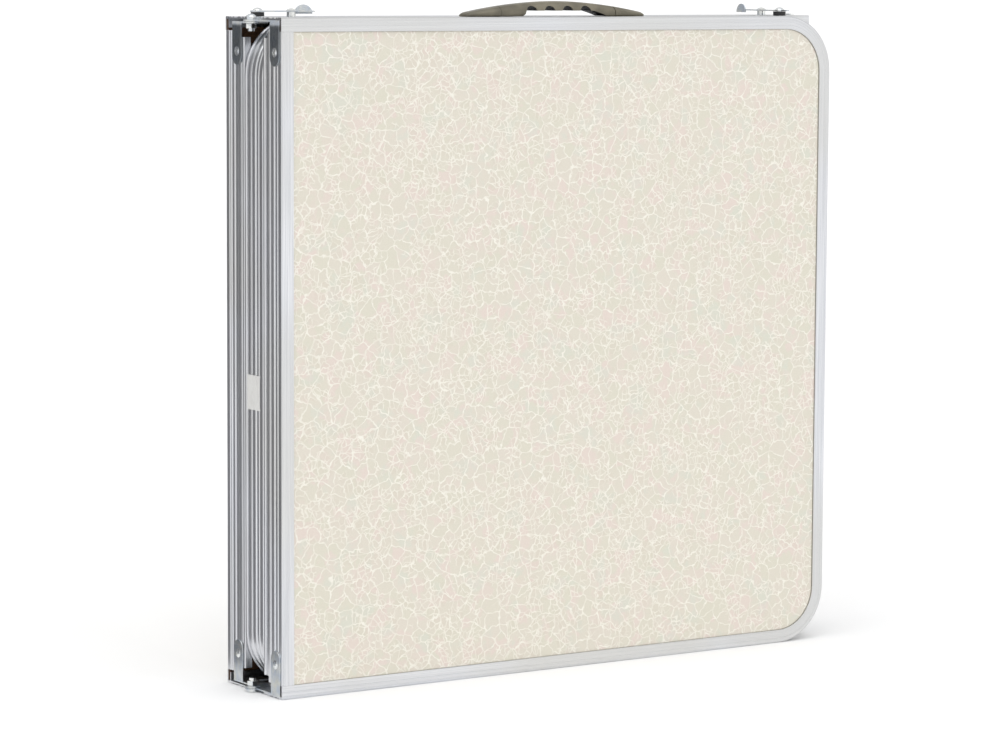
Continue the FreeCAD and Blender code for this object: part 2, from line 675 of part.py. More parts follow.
def snap_button(z):
    side = 1 if z > HALF else -1
    x = PIVOT_X - BUTTON_AT
    spring_z = z + side * 4.0
    stem_length = 3.2
    stem = rod(x, PIVOT_V, spring_z, BUTTON_R, stem_length, NORTH * side)
    cap = dome(x, PIVOT_V, spring_z + side * stem_length, BUTTON_R, 0.8, NORTH * side)
    spring = box(x - 4, x + 22, PIVOT_V - 2, PIVOT_V + 2, spring_z - 0.4, spring_z + 0.4)
    return fuse([stem, cap, spring])


def foot(z):
    body = rod(PIVOT_X - FOOT_START, PIVOT_V, z, FOOT_R, FOOT_END - FOOT_START, WEST)
    socket_depth = FOOT_END - FOOT_FLOOR - FOOT_START
    body = body.cut(rod(PIVOT_X - FOOT_START, PIVOT_V, z, SLIDE_R + 0.02, socket_depth, WEST))
    end_x = PIVOT_X - FOOT_END
    end_edges = [edge for edge in body.Edges if abs(edge.CenterOfMass.x - end_x) < 0.01]
    return body.makeFillet(1.5, end_edges)


def stay_clip(z, side):
    """Band round the leg with the stud that the leg's stay link turns on."""
    x = PIVOT_X - STAY_AT
    band = rod(x + CLIP_LENGTH / 2, PIVOT_V, z, CLIP_R, CLIP_LENGTH, WEST)
    axis = NORTH * (-side)
    stud = rod(x, PIVOT_V, z, STAY_RIVET_R, STUD_HEAD + 0.7, axis)
    head = rod(x, PIVOT_V, z - side * STUD_HEAD, 3.5, 0.7, axis)
    bore = rod(x + CLIP_LENGTH, PIVOT_V, z, LEG_R + 0.05, 2 * CLIP_LENGTH, WEST)
    return fuse([band, stud, head]).cut(bore)


def stay_link(z, side, offset, middle_rivet):
    """A flat link from the folded anchor point towards the leg pivot."""
    x = PIVOT_X - STAY_AT
    end = x + STAY_LENGTH
    start = z - side * offset
    axis = NORTH * (-side)
    low, high = sorted((start, start - side * STAY_THICK))
    link = fuse([
        box(x, end, PIVOT_V - STAY_HALF_WIDTH, PIVOT_V + STAY_HALF_WIDTH, low, high),
        rod(x, PIVOT_V, start, STAY_HALF_WIDTH, STAY_THICK, axis),
        rod(end, PIVOT_V, start, STAY_HALF_WIDTH, STAY_THICK, axis),
    ])
    link = link.cut(rod(x, PIVOT_V, z - 30, STAY_RIVET_R + RUNNING, 60))
    if middle_rivet:
        rivet = rod(end, PIVOT_V, start - side * STAY_THICK, 3.5, 0.8, axis)
        return link.fuse(rivet).removeSplitter()
    return link.cut(rod(end, PIVOT_V, z - 30, STAY_RIVET_R + 0.1, 60))


def crossbar(span):
    x = PIVOT_X - CROSSBAR_AT
    bar = tube(x, PIVOT_V, HALF - span, CROSSBAR_R, LEG_WALL, 2 * span, NORTH)
    for side in (-1, 1):
        bar = bar.cut(rod(x + 30, PIVOT_V, HALF + side * span, LEG_R + 0.05, 60, WEST))
    return group([bar])


def leg_set(span):
    """Every piece of one pair of folding legs, by kind."""
    set_parts = {kind: [] for kind in ("tubes", "slides", "feet", "buttons", "clips", "brackets",
                                       "rivets", "leg_links", "section_links")}
    for side in (-1, 1):
        z = HALF + side * span
        set_parts["tubes"].append(leg_tube(z))
        set_parts["slides"].append(slide_tube(z))
        set_parts["feet"].append(foot(z))
        set_parts["buttons"].append(snap_button(z))
        set_parts["clips"].append(stay_clip(z, side))
        set_parts["brackets"] += [leg_bracket(z, side), stay_bracket(z, side)]
        set_parts["rivets"] += [leg_rivet(z), stay_rivet(z, side)]
        set_parts["leg_links"].append(stay_link(z, side, LEG_LINK, False))
        set_parts["section_links"].append(stay_link(z, side, SECTION_LINK, True))
    set_parts["crossbar"] = [crossbar(span)]
    return set_parts


def turn_round(shape):
    """Turns a leg set end for end within its section."""
    moved = shape.copy()
    moved.rotate(V(HALF, 0, HALF), V(0, 1, 0), 180)
    return moved


LEG_NODES = {
    "tubes": "leg_tubes", "slides": "leg_extensions", "feet": "leg_feet", "clips": "stay_clips",
    "brackets": "leg_brackets", "rivets": "leg_rivets", "crossbar": "leg_crossbar",
}


def leg_sets():
    """The front section's legs can move; the inner and middle sections' legs lie folded."""
    wide = leg_set(WIDE_SPAN)
    narrow = leg_set(NARROW_SPAN)
    nested = {kind: wide[kind] + [turn_round(part) for part in narrow[kind]] for kind in wide}
    for kind, name in LEG_NODES.items():
        NODES["front_" + name] = group([to_front(part) for part in wide[kind]])
        NODES["inner_" + name] = group([to_inner(part) for part in wide[kind]])
        NODES["middle_" + name] = group([to_middle(part) for part in nested[kind]])
    links = ("leg_links", "section_links")
    NODES["front_upper_stay_links"] = group([to_front(part) for part in wide["leg_links"]])
    NODES["front_lower_stay_links"] = group([to_front(part) for part in wide["section_links"]])
    NODES["inner_stay_links"] = group([to_inner(part) for kind in links for part in wide[kind]])
    NODES["middle_stay_links"] = group([to_middle(part) for kind in links for part in nested[kind]])
    case_buttons = [to_inner(part) for part in wide["buttons"]]
    case_buttons += [to_middle(part) for part in nested["buttons"]]
    NODES["front_snap_buttons"] = group([to_front(part) for part in wide["buttons"]])
    NODES["case_snap_buttons"] = group(case_buttons)


LABEL_Y = (-11.5, 12.0)
LABEL_Z = (253.0, 284.0)


def label():
    """Blank paper label on the inner section's rounded end rail."""
    NODES["blank_label"] = box(-HALF - 0.35, -HALF - 0.05, *LABEL_Y, *LABEL_Z)


def main():
    section_frames()
    corner_hinges()
    latches()
    handle()
    leg_sets()
    label()
    os.makedirs("parts", exist_ok=True)
    for name, shape in NODES.items():
        shape.exportStep("parts/" + name + ".step")


main()
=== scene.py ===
import json
import math

import bmesh
import bpy
from mathutils import Matrix, Vector


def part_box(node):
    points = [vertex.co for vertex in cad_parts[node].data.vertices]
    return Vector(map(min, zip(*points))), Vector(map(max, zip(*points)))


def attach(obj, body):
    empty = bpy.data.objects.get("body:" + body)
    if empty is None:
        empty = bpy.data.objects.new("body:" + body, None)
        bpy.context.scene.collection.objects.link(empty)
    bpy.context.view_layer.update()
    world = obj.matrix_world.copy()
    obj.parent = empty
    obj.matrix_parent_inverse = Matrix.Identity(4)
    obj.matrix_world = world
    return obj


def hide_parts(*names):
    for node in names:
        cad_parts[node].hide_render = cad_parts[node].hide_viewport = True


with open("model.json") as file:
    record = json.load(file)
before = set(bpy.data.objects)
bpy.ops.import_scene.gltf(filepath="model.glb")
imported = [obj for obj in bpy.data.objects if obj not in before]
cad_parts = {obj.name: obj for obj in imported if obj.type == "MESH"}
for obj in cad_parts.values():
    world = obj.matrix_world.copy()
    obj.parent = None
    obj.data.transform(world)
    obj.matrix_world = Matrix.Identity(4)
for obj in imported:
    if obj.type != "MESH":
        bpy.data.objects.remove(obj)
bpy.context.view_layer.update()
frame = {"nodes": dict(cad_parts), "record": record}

# A suitcase folding table, folded shut and standing on its long side rails.
# Metres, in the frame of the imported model: X along the case, Y towards its back, Z up.

MM = 0.001
HALF_SIDE = 300.0 * MM
SECTION_DEPTH = 33.0 * MM
BORDER = 12.3 * MM
ROUND_CORNER = 52.0 * MM
SQUARE_CORNER = 0.5 * MM
RIGHT_END, LEFT_END, BOTH_ENDS = 1.0, -1.0, 0.0
FRONTWARD, BACKWARD = -1.0, 1.0
SLOT_OF = {part["node"]: part["material_slot"] for part in frame["record"]["subparts"]}


# Node trees

class Nodes:
    """A node tree, with one call for each kind of node that the script uses."""

    def __init__(self, tree):
        self.tree = tree

    def new(self, kind):
        return self.tree.nodes.new("ShaderNode" + kind)

    def link(self, value, socket):
        """Feeds a socket from another node's output, or with a plain value."""
        if isinstance(value, bpy.types.NodeSocket):
            self.tree.links.new(value, socket)
        elif value is not None:
            socket.default_value = value

    def math(self, operation, a, b=None, clamp=False):
        node = self.new("Math")
        node.operation = operation
        node.use_clamp = clamp
        for value, socket in zip((a, b), node.inputs):
            self.link(value, socket)
        return node.outputs[0]

    def plus(self, a, b):
        return self.math("ADD", a, b)

    def minus(self, a, b):
        return self.math("SUBTRACT", a, b)

    def times(self, a, b):
        return self.math("MULTIPLY", a, b)

    def vector(self, operation, a, b=None):
        node = self.new("VectorMath")
        node.operation = operation
        self.link(a, node.inputs[0])
        self.link(b, node.inputs["Scale" if operation == "SCALE" else 1])
        return node.outputs["Value" if operation in ("LENGTH", "DOT_PRODUCT") else "Vector"]

    def split(self, vector):
        node = self.new("SeparateXYZ")
        self.link(vector, node.inputs[0])
        return node.outputs[0], node.outputs[1], node.outputs[2]

    def join(self, x, y, z):
        node = self.new("CombineXYZ")
        for value, socket in zip((x, y, z), node.inputs):
            self.link(value, socket)
        return node.outputs[0]

    def noise(self, vector, scale, detail=2.0, roughness=0.5, colour=False):
        node = self.new("TexNoise")
        self.link(vector, node.inputs["Vector"])
        node.inputs["Scale"].default_value = scale
        node.inputs["Detail"].default_value = detail
        node.inputs["Roughness"].default_value = roughness
        return node.outputs["Color" if colour else "Fac"]

    def cells(self, vector, scale, feature):
        node = self.new("TexVoronoi")
        node.voronoi_dimensions = "2D"
        node.feature = feature
        self.link(vector, node.inputs["Vector"])
        node.inputs["Scale"].default_value = scale
        return node.outputs["Distance" if feature == "DISTANCE_TO_EDGE" else "Color"]

    def fade(self, value, low, high, to_low=0.0, to_high=1.0):
        """Smooth change from to_low to to_high as value goes from low to high."""
        node = self.new("MapRange")
        node.interpolation_type = "SMOOTHSTEP"
        self.link(value, node.inputs["Value"])
        for socket, number in zip(node.inputs[1:5], (low, high, to_low, to_high)):
            socket.default_value = number
        return node.outputs[0]

    def mix(self, factor, a, b):
        node = self.new("Mix")
        node.data_type = "RGBA"
        self.link(factor, node.inputs["Factor"])
        for value, socket in ((a, node.inputs["A"]), (b, node.inputs["B"])):
            self.link((*value, 1.0) if isinstance(value, tuple) else value, socket)
        return node.outputs["Result"]


class Paint(Nodes):
    """A material, its textures laid out by the piece's own coordinates."""

    def __init__(self, name, **shader_values):
        self.material = bpy.data.materials.new(name)
        self.material.use_nodes = True
        super().__init__(self.material.node_tree)
        self.shader = self.tree.nodes["Principled BSDF"]
        for socket, value in shader_values.items():
            self.shader.inputs[socket.replace("_", " ")].default_value = value
        self.place = self.new("TexCoord").outputs["Object"]

    def stretched(self, x, y, z):
        """The place with each coordinate multiplied, which draws a texture out where it's small."""
        return self.vector("MULTIPLY", self.place, (x, y, z))

    def patches(self, scale, detail, low, high, least=0.0, most=1.0):
        """Cloudy patches that go from least to most as a noise goes from low to high."""
        return self.fade(self.noise(self.place, scale, detail), low, high, least, most)

    def wander(self, scale, reach):
        """A smooth random shift from place to place, up to half of reach each way."""
        tint = self.noise(self.place, scale, 1.0, colour=True)
        return self.vector("SCALE", self.vector("SUBTRACT", tint, (0.5, 0.5, 0.5)), reach)

    def bump(self, height, distance, strength):
        node = self.new("Bump")
        node.inputs["Strength"].default_value = strength
        node.inputs["Distance"].default_value = distance
        self.link(height, node.inputs["Height"])
        self.link(node.outputs["Normal"], self.shader.inputs["Normal"])

    def paint(self, colour, roughness=None):
        self.link(colour, self.shader.inputs["Base Color"])
        self.link(roughness, self.shader.inputs["Roughness"])
        return self.material


def linear(red, green, blue):
    """A colour given in 0 to 255 display values, as Blender's linear values."""
    def one(value):
        share = value / 255.0
        return share / 12.92 if share <= 0.04045 else ((share + 0.055) / 1.055) ** 2.4
    return one(red), one(green), one(blue)


# Boards: crackle laminate on hardboard

BROAD_NET = 80.0
FINE_NET = 162.0
OLIVE = linear(213, 210, 194)
BEIGE = linear(217, 210, 198)
PINK = linear(220, 207, 198)
GREEN = linear(207, 212, 200)
BROWN_FLAKE = linear(208, 197, 183)
PALE_SPECK = linear(230, 223, 212)
PALE_CRACK = linear(238, 235, 225)
# Painted shadow along the seam where the print meets the rail's border: its colour and width
PAINTED_SEAM_SHADOW = linear(120, 115, 102)
SEAM_SHADOW_WIDTH = 1.0 * MM
PRINT_DEPTH = 0.25 * MM
PRINT_BLEND = 0.1 * MM

SCREEN_STEP = 1.3 * MM
CUT_EDGE = 2.9 * MM
CUT_EDGE_BLEND = 0.5 * MM
WOOD_DARK = linear(88, 62, 44)
WOOD_LIGHT = linear(142, 106, 78)
STRAND = linear(166, 130, 98)
DULL_PATCH = linear(112, 80, 57)
SCREEN_DIMPLE = linear(70, 49, 35)
CUT_EDGE_SHADE = linear(44, 27, 25)


def inset_from_outline(p, x, z, end):
    """Distance in from a section's outline. The outline closes at the given end with round corners
    and runs straight on past the other. Closed at both ends, it has square corners."""
    corner = SQUARE_CORNER if end == BOTH_ENDS else ROUND_CORNER
    across_x = p.math("ABSOLUTE", x) if end == BOTH_ENDS else p.times(x, end)
    across_z = p.math("ABSOLUTE", p.minus(z, HALF_SIDE))
    past_x = p.minus(across_x, HALF_SIDE - corner)
    past_z = p.minus(across_z, HALF_SIDE - corner)
    in_corner = p.join(p.math("MAXIMUM", past_x, 0.0), p.math("MAXIMUM", past_z, 0.0), 0.0)
    outside = p.vector("LENGTH", in_corner)
    inside = p.math("MINIMUM", p.math("MAXIMUM", past_x, past_z), 0.0)
    return p.minus(corner, p.plus(outside, inside))


def crackle(p, x, z):
    """The laminate's print, as its colour and how strong its pale crack lines are. A fine net of
    cracks shows in patches of the broad one."""
    flat = p.vector("ADD", p.join(x, z, 0.0), p.wander(110.0, 8.5 * MM))
    bent = p.vector("ADD", flat, p.wander(330.0, 2.2 * MM))
    broad_line = p.fade(p.cells(bent, BROAD_NET, "DISTANCE_TO_EDGE"), 0.012, 0.062, 1.0, 0.0)
    fine_line = p.fade(p.cells(bent, FINE_NET, "DISTANCE_TO_EDGE"), 0.02, 0.11, 0.85, 0.0)
    fine_patches = p.patches(70.0, 1.0, 0.43, 0.52)
    lines = p.math("MAXIMUM", broad_line, p.times(fine_line, fine_patches))
    lines = p.times(lines, p.patches(170.0, 1.0, 0.3, 0.65, 0.45, 0.95))

    broad_cell = p.split(p.cells(bent, BROAD_NET, "F1"))
    fine_cell = p.split(p.cells(bent, FINE_NET, "F1"))
    pinkness = p.plus(0.35, broad_cell[1])
    pink = p.math("MULTIPLY", p.patches(58.0, 2.0, 0.5, 0.62), pinkness, clamp=True)
    flakes = p.times(p.times(fine_cell[2], fine_patches), 0.3)
    body = p.mix(broad_cell[0], OLIVE, BEIGE)
    body = p.mix(pink, body, PINK)
    body = p.mix(p.patches(52.0, 3.0, 0.54, 0.68, most=0.5), body, GREEN)
    body = p.mix(flakes, body, BROWN_FLAKE)
    body = p.mix(p.patches(900.0, 2.0, 0.35, 0.7, most=0.25), body, PALE_SPECK)
    return p.mix(lines, body, PALE_CRACK), lines


def hardboard(p, x, z, inset):
    """Bare brown hardboard with dark cut edges, as its colour and its relief: fibres, and the
    dimples of the screen it was pressed on."""
    fibre = p.noise(p.stretched(1.0, 6.0, 1.0), 420.0, 4.0, 0.7)
    strand = p.noise(p.stretched(0.25, 1.0, 1.0), 700.0, 3.0, 0.7)
    weave_x = p.math("SINE", p.times(x, math.tau / SCREEN_STEP))
    weave_z = p.math("SINE", p.times(z, math.tau / SCREEN_STEP))
    screen = p.fade(p.times(weave_x, weave_z), -1.0, 1.0)
    cut_edge = p.fade(inset, CUT_EDGE, CUT_EDGE + CUT_EDGE_BLEND, 0.8, 0.0)
    wood = p.mix(p.fade(fibre, 0.3, 0.7), WOOD_DARK, WOOD_LIGHT)
    wood = p.mix(p.fade(strand, 0.45, 0.75, 0.0, 0.5), wood, STRAND)
    wood = p.mix(p.patches(7.0, 4.0, 0.35, 0.65, most=0.55), wood, DULL_PATCH)
    wood = p.mix(p.times(screen, 0.3), wood, SCREEN_DIMPLE)
    wood = p.mix(cut_edge, wood, CUT_EDGE_SHADE)
    return wood, fibre, screen


def laminate(node, end, outward):
    """A board printed on its tabletop face, with bare hardboard below and on the edges, and a
    painted shadow on the print along the border.
    """
    low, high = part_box(node)
    face_y = low.y if outward == FRONTWARD else high.y
    p = Paint("laminate_" + node, Roughness=0.42, Specular_IOR_Level=0.4)
    x, y, z = p.split(p.place)
    inset = p.math("MINIMUM", inset_from_outline(p, x, z, end),
                   inset_from_outline(p, x, z, BOTH_ENDS))
    printed, lines = crackle(p, x, z)
    # Painted shadow just inside the border, stronger towards the right end, standing for the inset
    # board's shade
    seam_shadow = p.fade(inset, BORDER, BORDER + SEAM_SHADOW_WIDTH, 0.85, 0.0)
    seam_shadow_strength = p.fade(x, 0.2, 0.3, 0.6, 1.0)
    printed = p.mix(p.times(seam_shadow, seam_shadow_strength), printed, PAINTED_SEAM_SHADOW)
    wood, fibre, screen = hardboard(p, x, z, inset)

    depth = p.math("ABSOLUTE", p.minus(y, face_y))
    is_wood = p.fade(depth, PRINT_DEPTH, PRINT_DEPTH + PRINT_BLEND)
    is_print = p.minus(1.0, is_wood)
    wood_rough = p.fade(fibre, 0.3, 0.7, 0.75, 0.9)
    print_rough = p.patches(60.0, 3.0, 0.3, 0.7, 0.36, 0.46)
    rough = p.plus(p.times(is_wood, wood_rough), p.times(is_print, print_rough))
    relief = p.plus(p.times(is_print, lines), p.times(is_wood, p.minus(fibre, screen)))
    p.bump(relief, 0.04 * MM, 0.6)
    return p.paint(p.mix(is_wood, printed, wood), rough)


# Metals

# Width of the painted shade in the rail's last groove, at the back of the section
GROOVE_WIDTH = 3.5 * MM
# Heights of the painted shade on the hinge straps, and of the hinge plate above it, which stays
# unshaded
SHADED_STRAP = (520.0 * MM, 585.0 * MM)
HINGE_PLATE = (591.2 * MM, 594.5 * MM)
LEVER_METALLIC = 0.45


def rail_metal(name, end, face_y, outward):
    """Satin extruded aluminium. Its drawing lines run along the rail and round its corners, so they
    depend only on the distance from the rail's outline and on the depth."""
    p = Paint(name, Metallic=1.0)
    x, y, z = p.split(p.place)
    lines_at = p.join(inset_from_outline(p, x, z, end), y, 0.0)
    streaks_at = p.vector("ADD", lines_at, p.vector("SCALE", p.place, 0.004))
    bands_at = p.vector("ADD", lines_at, p.vector("SCALE", p.place, 0.02))
    streaks = p.noise(streaks_at, 2600.0, 3.0, 0.6)
    bands = p.noise(bands_at, 420.0, 2.0)
    scuff = p.fade(p.noise(p.stretched(1.0, 1.0, 0.25), 330.0, 4.0, 0.75), 0.66, 0.8)
    depth = p.times(p.minus(y, face_y), -outward)
    # Painted shade in the rail's last groove, next to the neighbouring section
    groove_shade = p.fade(depth, SECTION_DEPTH - GROOVE_WIDTH, SECTION_DEPTH, 0.0, 0.12)
    colour = p.mix(p.fade(streaks, 0.3, 0.7), linear(203, 206, 211), linear(235, 236, 239))
    colour = p.mix(p.fade(bands, 0.35, 0.65, 0.0, 0.35), colour, linear(196, 197, 202))
    colour = p.mix(p.patches(5.0, 2.0, 0.4, 0.6, most=0.5), colour, linear(206, 205, 200))
    colour = p.mix(p.times(scuff, 0.35), colour, linear(186, 187, 190))
    # The painted groove shade darkens the colour there
    colour = p.mix(groove_shade, colour, linear(170, 170, 172))
    rough = p.plus(p.fade(streaks, 0.3, 0.7, 0.26, 0.36), p.times(scuff, 0.12))
    p.bump(p.plus(streaks, p.times(bands, 0.5)), 0.02 * MM, 0.5)
    return p.paint(colour, rough)


def zinc_steel(name, metallic=1.0, shaded_straps=False):
    """Pressed steel with a bluish zinc coat, mottled. Shaded straps get a painted shade, dark and
    mottled, between their screws and the hinge plate, where the other section covers them."""
    p = Paint(name, Metallic=metallic)
    blotch = p.noise(p.place, 120.0, 4.0, 0.6)
    grain = p.noise(p.place, 1500.0, 2.0)
    stain = p.noise(p.vector("ADD", p.place, (3.1, 0.4, 1.7)), 60.0, 2.0)
    colour = p.mix(p.fade(blotch, 0.35, 0.65), linear(188, 196, 206), linear(212, 214, 212))
    colour = p.mix(p.fade(stain, 0.55, 0.72, 0.0, 0.35), colour, linear(206, 200, 176))
    if shaded_straps:
        height = p.split(p.place)[2]
        strap = p.fade(height, *SHADED_STRAP, 0.0, 0.8)
        plate = p.fade(height, *HINGE_PLATE, 0.0, 0.8)
        shade = p.math("SUBTRACT", strap, plate, clamp=True)
        p.link(p.fade(height, *HINGE_PLATE, 1.0, 0.4), p.shader.inputs["Metallic"])
        # Painted shade: a dark mottled colour on the straps where the other section covers them
        dull = p.mix(blotch, linear(92, 99, 103), linear(140, 146, 152))
        colour = p.mix(shade, colour, dull)
    p.bump(p.plus(grain, blotch), 0.015 * MM, 0.7)
    return p.paint(colour, p.fade(grain, 0.3, 0.7, 0.26, 0.40))


def bright_steel():
    """Nickel-bright turned and stamped small parts."""
    p = Paint("bright_plated_steel", Metallic=1.0)
    turned = p.noise(p.stretched(1.0, 1.0, 3.0), 1900.0, 2.0)
    blotch = p.patches(150.0, 3.0, 0.35, 0.65)
    colour = p.mix(blotch, linear(214, 219, 224), linear(238, 239, 236))
    p.bump(turned, 0.01 * MM, 0.6)
    return p.paint(colour, p.fade(turned, 0.3, 0.7, 0.16, 0.28))


def leg_metal():
    """Drawn aluminium tube, slightly dull, with fine lines along it and light rubbing marks."""
    p = Paint("leg_tube_aluminium", Metallic=1.0)
    lines = p.noise(p.stretched(0.03, 1.0, 1.0), 1800.0, 3.0, 0.6)
    marks = p.fade(p.noise(p.stretched(2.0, 0.4, 0.4), 160.0, 4.0, 0.7), 0.6, 0.78)
    colour = p.mix(p.fade(lines, 0.3, 0.7), linear(196, 198, 202), linear(226, 227, 230))
    colour = p.mix(p.times(marks, 0.3), colour, linear(160, 161, 165))
    rough = p.plus(p.fade(lines, 0.3, 0.7, 0.26, 0.36), p.times(marks, 0.15))
    p.bump(lines, 0.015 * MM, 0.6)
    return p.paint(colour, rough)


# Plastics, rubber and paper

def grained_plastic(name, dark, light, grain_scale, relief, rough_low, rough_high):
    """Moulded plastic with a fine leather-like grain, dark in its pits."""
    p = Paint(name, Specular_IOR_Level=0.5)
    grain = p.noise(p.place, grain_scale, 3.0, 0.65)
    colour = p.mix(p.patches(45.0, 3.0, 0.3, 0.7), dark, light)
    pit_shade = tuple(0.6 * channel for channel in dark)
    colour = p.mix(p.fade(grain, 0.25, 0.5, 0.3, 0.0), colour, pit_shade)
    p.bump(grain, relief, 0.8)
    return p.paint(colour, p.fade(grain, 0.3, 0.7, rough_low, rough_high))


def paper():
    """Matt label paper, a little smudged."""
    p = Paint("blank_label_paper", Specular_IOR_Level=0.25)
    fibre = p.noise(p.place, 1400.0, 4.0, 0.7)
    colour = p.mix(p.fade(fibre, 0.3, 0.7), linear(198, 197, 194), linear(222, 222, 220))
    smudge = p.patches(130.0, 3.0, 0.5, 0.75, most=0.25)
    colour = p.mix(smudge, colour, linear(176, 175, 171))
    p.bump(fibre, 0.03 * MM, 0.5)
    return p.paint(colour, p.fade(fibre, 0.3, 0.7, 0.6, 0.8))


# Which piece wears what

TAUPE = (linear(96, 91, 77), linear(124, 118, 101))
BLACK = (linear(20, 20, 21), linear(33, 33, 34))
SOOT = (linear(38, 38, 39), linear(58, 58, 58))

SHARED = {
    "zinc_steel": zinc_steel("zinc_plated_steel"),
    "leg_aluminium": leg_metal(),
    "grey_plastic": grained_plastic("taupe_moulded_plastic", *TAUPE, 1300.0, 0.05 * MM, 0.34, 0.5),
    "black_nylon": grained_plastic("black_nylon", *BLACK, 900.0, 0.03 * MM, 0.32, 0.5),
    "foot_rubber": grained_plastic("foot_rubber", *SOOT, 700.0, 0.06 * MM, 0.55, 0.75),
    "label_paper": paper(),
}

BRIGHT_NODES = (
    "front_hinge_screws", "case_hinge_screws", "handle_screws", "front_hinge_bolts", "hinge_nuts",
    "inner_hinge_pins", "latch_pivot_rivets", "stow_keeper_screw", "case_keeper_screw",
)


def own_materials():
    """Materials of the pieces that don't wear the shared one of their slot."""
    front_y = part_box("front_rim_rail")[0].y
    inner_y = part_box("inner_rim_rail")[0].y
    back_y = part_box("middle_top_rail")[1].y
    own = {
        "front_board": laminate("front_board", RIGHT_END, FRONTWARD),
        "inner_board": laminate("inner_board", LEFT_END, FRONTWARD),
        "middle_board": laminate("middle_board", BOTH_ENDS, BACKWARD),
        "front_rim_rail": rail_metal("rail_front", RIGHT_END, front_y, FRONTWARD),
        "inner_rim_rail": rail_metal("rail_inner", LEFT_END, inner_y, FRONTWARD),
        "front_hinge_rail": rail_metal("rail_front_hinge", BOTH_ENDS, front_y, FRONTWARD),
        "inner_hinge_rail": rail_metal("rail_inner_hinge", BOTH_ENDS, inner_y, FRONTWARD),
    }
    middle = rail_metal("rail_middle", BOTH_ENDS, back_y, BACKWARD)
    own.update({"middle_" + side + "_rail": middle for side in ("top", "bottom", "left", "right")})
    strap = zinc_steel("zinc_hinge_straps", shaded_straps=True)
    own.update({section + "_hinge_brackets": strap for section in ("front", "middle_left")})
    lever = zinc_steel("zinc_latch_levers", LEVER_METALLIC)
    own.update({latch + "_latch_lever": lever for latch in ("stow", "case")})
    bright = bright_steel()
    own.update({name: bright for name in BRIGHT_NODES})
    return own


def paint_nodes():
    own = own_materials()
    for name, node in frame["nodes"].items():
        node.data.materials.clear()
        node.data.materials.append(own.get(name) or SHARED[SLOT_OF[name]])


# Fine edges on pressed and turned metal parts

EDGE_WIDTHS = {
    0.25 * MM: ("front_leg_brackets", "inner_leg_brackets", "middle_leg_brackets",
                "front_upper_stay_links", "front_lower_stay_links"),
    0.3 * MM: ("front_hinge_brackets", "inner_hinge_brackets", "middle_left_hinge_brackets",
               "middle_right_hinge_brackets", "stow_latch_lever", "case_latch_lever"),
    0.35 * MM: ("hinge_nuts",),
}
EDGE_ANGLE = math.radians(40)
WELD_REACH = 0.002 * MM


def round_edges():
    for width, names in EDGE_WIDTHS.items():
        for name in names:
            node = frame["nodes"][name]
            weld = node.modifiers.new("weld", "WELD")
            weld.merge_threshold = WELD_REACH
            bevel = node.modifiers.new("edge", "BEVEL")
            bevel.width = width
            bevel.segments = 2
            bevel.limit_method = "ANGLE"
            bevel.angle_limit = EDGE_ANGLE
            bevel.harden_normals = True


def finished(name, mesh, material, smooth_angle=35.0):
    """Turns a bmesh into an object with smooth shading up to an angle in degrees."""
    limit = math.radians(smooth_angle)
    for edge in mesh.edges:
        edge.smooth = edge.is_manifold and edge.calc_face_angle(0.0) < limit
    for face in mesh.faces:
        face.smooth = True
    data = bpy.data.meshes.new(name)
    mesh.to_mesh(data)
    mesh.free()
    data.materials.append(material)
    piece = bpy.data.objects.new(name, data)
    bpy.context.scene.collection.objects.link(piece)
    return piece


# Carry handle: a low moulded arch with a finger opening

HANDLE_X = -6.0 * MM
HANDLE_Y = -32.0 * MM
HANDLE_BASE = 600.1 * MM
HANDLE_HALF = 96.5 * MM
HANDLE_RISE = 13.9 * MM
HALF_WIDTH = 11.0 * MM
END_HEIGHT = 3.4 * MM
CROWN_POWER = 1.9

GRIP_HALF = 62.0 * MM
GRIP_HALF_WIDTH = HALF_WIDTH - 0.4 * MM
GRIP_STEPS = 232
SOLE = 0.3 * MM
OPENING_RISE = 4.9 * MM
OPENING_LEFT, LEFT_RAMP = -38.0 * MM, 6.0 * MM
OPENING_RIGHT, RIGHT_RAMP = 53.0 * MM, 15.0 * MM
SCALLOP_PITCH = 19.6 * MM
SCALLOP_R = 6.0 * MM
SCALLOP_BASE = 3.6 * MM

CAP_START = 62.5 * MM
CAP_STEPS = 60
CAP_NARROWING = 0.18
NOSE_START = 0.9
NOSE_HEIGHT = 0.3
NOSE_WIDTH = 0.72

FLAT_WITHIN = 0.001 * MM

# Right half of the cross-section from the bottom middle up, in shares of half width and height:
# a flat sole, a bulging side, a shoulder line and a crowned top panel with its own edge line
HANDLE_PROFILE = (
    (0.0, 0.0), (0.55, 0.0), (0.86, 0.02), (0.95, 0.10), (0.985, 0.25), (1.0, 0.42), (0.99, 0.52),
    (0.965, 0.60), (0.93, 0.635), (0.915, 0.625), (0.89, 0.66), (0.80, 0.775), (0.75, 0.815),
    (0.725, 0.80), (0.71, 0.825), (0.66, 0.90), (0.55, 0.955), (0.35, 0.985), (0.0, 1.0),
)


def arch_top(x):
    """Height of the handle's crown above the rail, at x from its middle."""
    share = min(1.0, abs(x) / HANDLE_HALF)
    return END_HEIGHT + (HANDLE_RISE - END_HEIGHT) * (1.0 - share ** CROWN_POWER)


